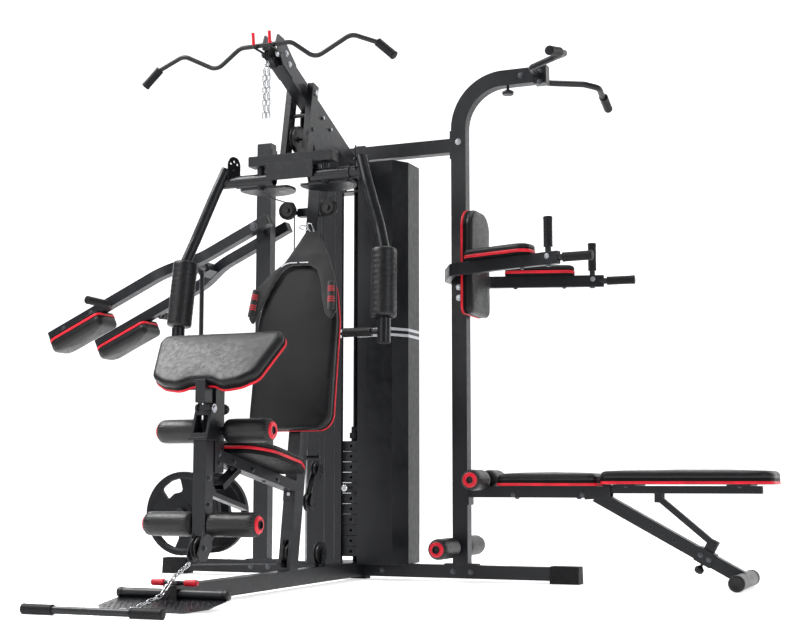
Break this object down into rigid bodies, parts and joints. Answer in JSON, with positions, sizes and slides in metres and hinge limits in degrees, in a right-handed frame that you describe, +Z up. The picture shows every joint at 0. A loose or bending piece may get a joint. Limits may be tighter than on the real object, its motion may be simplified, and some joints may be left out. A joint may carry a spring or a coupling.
{
  "type": "multi station home gym",
  "caption": "Home gym with a shrouded weight stack, press and fly arms, lat boom, leg arm, squat arms with hanging plates, dip frame, pull-up bar and folding bench",
  "frame": {"origin": "On the floor under the crossing of the two base beams, on the underside of the centre foot pad.", "axes": "+X runs along the cross beam from the squat station towards the bench, +Y points from the seat towards the weight stack so that the seated user faces -Y, +Z is up."},
  "size_m": [3.2246, 2.3531, 2.14],
  "materials": {
    "frame_steel": "satin powder coat",
    "shroud_sheet": "satin powder coat",
    "stack_iron": "painted casting",
    "bright_steel": "polished plate",
    "vinyl": "fine grained upholstery vinyl",
    "foam": "matt foam skin",
    "moulded_rubber": "matt",
    "nylon": "moulded",
    "cable_sheath": "extruded sheath over wire rope",
    "webbing": "padded webbing"
  },
  "bodies": {
    "frame": {"main_base_beam": "frame_steel", "cross_base_beam": "frame_steel", "rubber_feet": "moulded_rubber", "main_upright": "frame_steel", "lat_boom": "frame_steel", "rear_frame": "frame_steel", "left_post": "frame_steel", "right_post": "frame_steel", "shroud_right": "shroud_sheet", "shroud_left": "shroud_sheet", "guide_rods": "bright_steel", "resting_weight_plates": "stack_iron", "joint_plates": "frame_steel", "seat_beam": "frame_steel", "seat_pad": "vinyl", "backrest_pad": "vinyl", "front_upright": "frame_steel", "fixed_foam_rollers": "foam", "foot_plate": "frame_steel", "bar_rests": "frame_steel", "frame_bolts": "bright_steel", "steel_cables": "cable_sheath", "pulley_brackets": "frame_steel", "harness": "webbing", "chains_and_clips": "bright_steel", "vkr_frame": "frame_steel", "vkr_back_pad": "vinyl", "vkr_arm_pads": "vinyl", "bench_frame": "frame_steel", "bench_seat_pad": "vinyl"},
    "press": {"press_frame": "frame_steel"},
    "press_wheel": {"press_pulley": "nylon"},
    "arm_right": {"press_arm_right": "frame_steel", "arm_foam_right": "foam"},
    "arm_left": {"press_arm_left": "frame_steel", "arm_foam_left": "foam"},
    "stack": {"lifted_weight_plates": "stack_iron"},
    "stack_pin": {"selector_pin": "bright_steel"},
    "leg": {"leg_arm": "frame_steel", "leg_rollers": "foam"},
    "low_wheel": {"low_pulley": "nylon"},
    "boom_wheel": {"boom_pulley": "nylon"},
    "slot_wheel": {"slot_pulley": "nylon"},
    "floor_wheel": {"floor_pulley": "nylon"},
    "left_wheel": {"left_fly_pulley": "nylon"},
    "right_wheel": {"right_fly_pulley": "nylon"},
    "preacher": {"preacher_post": "frame_steel", "preacher_pad": "vinyl"},
    "post_pin": {"preacher_knob": "nylon"},
    "pull_bar_high": {"lat_bar": "frame_steel"},
    "pull_bar_low": {"low_bar": "frame_steel"},
    "squat": {"squat_arms": "frame_steel", "squat_pads": "vinyl"},
    "hanger": {"plate_hanger": "frame_steel", "grip_weight_plates": "stack_iron"},
    "chin_bar": {"pullup_bar": "frame_steel"},
    "bench_back": {"bench_back_rail": "frame_steel", "bench_back_pad": "vinyl"},
    "strut": {"bench_strut": "frame_steel"},
    "collar": {"bench_slider": "frame_steel"}
  },
  "joints": [
    {"name": "press_swing", "type": "hinge", "parent": "frame", "child": "press", "pos_m": [0, -0.59019, 1.95361], "axis": [-1, 0, 0], "range_deg": [0, 38]},
    {"name": "stack_lift", "type": "slide", "parent": "frame", "child": "stack", "axis": [0, 0, 1], "range_m": [0, 0.24]},
    {"name": "selector_pin_pull", "type": "slide", "parent": "stack", "child": "stack_pin", "axis": [0, -1, 0], "range_m": [0, 0.08]},
    {"name": "press_wheel_spin", "type": "hinge", "parent": "press", "child": "press_wheel", "pos_m": [0, -0.62775, 1.75873], "axis": [1, 0, 0], "continuous": true},
    {"name": "right_arm_fly", "type": "hinge", "parent": "press", "child": "arm_right", "pos_m": [0.14, -0.665, 1.6], "axis": [0, 0, 1], "range_deg": [-60, 0]},
    {"name": "left_arm_fly", "type": "hinge", "parent": "press", "child": "arm_left", "pos_m": [-0.14, -0.665, 1.6], "axis": [0, 0, 1], "range_deg": [0, 60]},
    {"name": "leg_extension", "type": "hinge", "parent": "frame", "child": "leg", "pos_m": [0, -1.312, 0.658], "axis": [-1, 0, 0], "range_deg": [0, 60]},
    {"name": "low_wheel_spin", "type": "hinge", "parent": "leg", "child": "low_wheel", "pos_m": [0, -1.345, 0.184], "axis": [1, 0, 0], "continuous": true},
    {"name": "boom_wheel_spin", "type": "hinge", "parent": "frame", "child": "boom_wheel", "pos_m": [0, -0.85597, 2.03384], "axis": [1, 0, 0], "continuous": true},
    {"name": "slot_wheel_spin", "type": "hinge", "parent": "frame", "child": "slot_wheel", "pos_m": [0, -0.667, 0.136], "axis": [1, 0, 0], "continuous": true},
    {"name": "floor_wheel_spin", "type": "hinge", "parent": "frame", "child": "floor_wheel", "pos_m": [0, -0.398, 0.122], "axis": [1, 0, 0], "continuous": true},
    {"name": "left_wheel_spin", "type": "hinge", "parent": "frame", "child": "left_wheel", "pos_m": [-0.09, -0.532, 1.495], "axis": [0, 1, 0], "continuous": true},
    {"name": "right_wheel_spin", "type": "hinge", "parent": "frame", "child": "right_wheel", "pos_m": [0.09, -0.532, 1.495], "axis": [0, 1, 0], "continuous": true},
    {"name": "preacher_height", "type": "slide", "parent": "frame", "child": "preacher", "axis": [0, 0, 1], "range_m": [0, 0.06]},
    {"name": "post_pin_pull", "type": "slide", "parent": "frame", "child": "post_pin", "axis": [0, 1, 0], "range_m": [0, 0.01], "stiffness_N_per_m": 600, "springref_m": -0.004},
    {"name": "lat_bar_lift", "type": "slide", "parent": "frame", "child": "pull_bar_high", "axis": [0, 0, 1], "range_m": [0, 0.1]},
    {"name": "low_bar_lift", "type": "slide", "parent": "frame", "child": "pull_bar_low", "axis": [0, 0, 1], "range_m": [0, 0.4]},
    {"name": "squat_lift", "type": "hinge", "parent": "frame", "child": "squat", "pos_m": [-0.4705, 0, 1.528], "axis": [0, 1, 0], "range_deg": [0, 35]},
    {"name": "hanger_swing", "type": "hinge", "parent": "squat", "child": "hanger", "pos_m": [-0.7973, 0, 1.36738], "axis": [0, 1, 0], "range_deg": [-36, 1]},
    {"name": "chin_bar_reach", "type": "slide", "parent": "frame", "child": "chin_bar", "axis": [1, 0, 0], "range_m": [0, 0.1]},
    {"name": "bench_back_tilt", "type": "hinge", "parent": "frame", "child": "bench_back", "pos_m": [1.082, 0, 0.384], "axis": [0, -1, 0], "range_deg": [0, 20]},
    {"name": "strut_swing", "type": "hinge", "parent": "bench_back", "child": "strut", "pos_m": [1.285, 0, 0.342], "axis": [0, -1, 0], "range_deg": [-36, 1]},
    {"name": "collar_slide", "type": "slide", "parent": "frame", "child": "collar", "axis": [-0.8763, 0, 0.4818], "range_m": [0, 0.07]}
  ],
  "couplings": [
    {"joint": "stack_lift", "follows": "press_swing", "m_per_rad": 0.35},
    {"joint": "hanger_swing", "follows": "squat_lift", "ratio": -1},
    {"joint": "strut_swing", "follows": "bench_back_tilt", "ratio": -1.729},
    {"joint": "collar_slide", "follows": "bench_back_tilt", "m_per_rad": 0.1558}
  ]
}
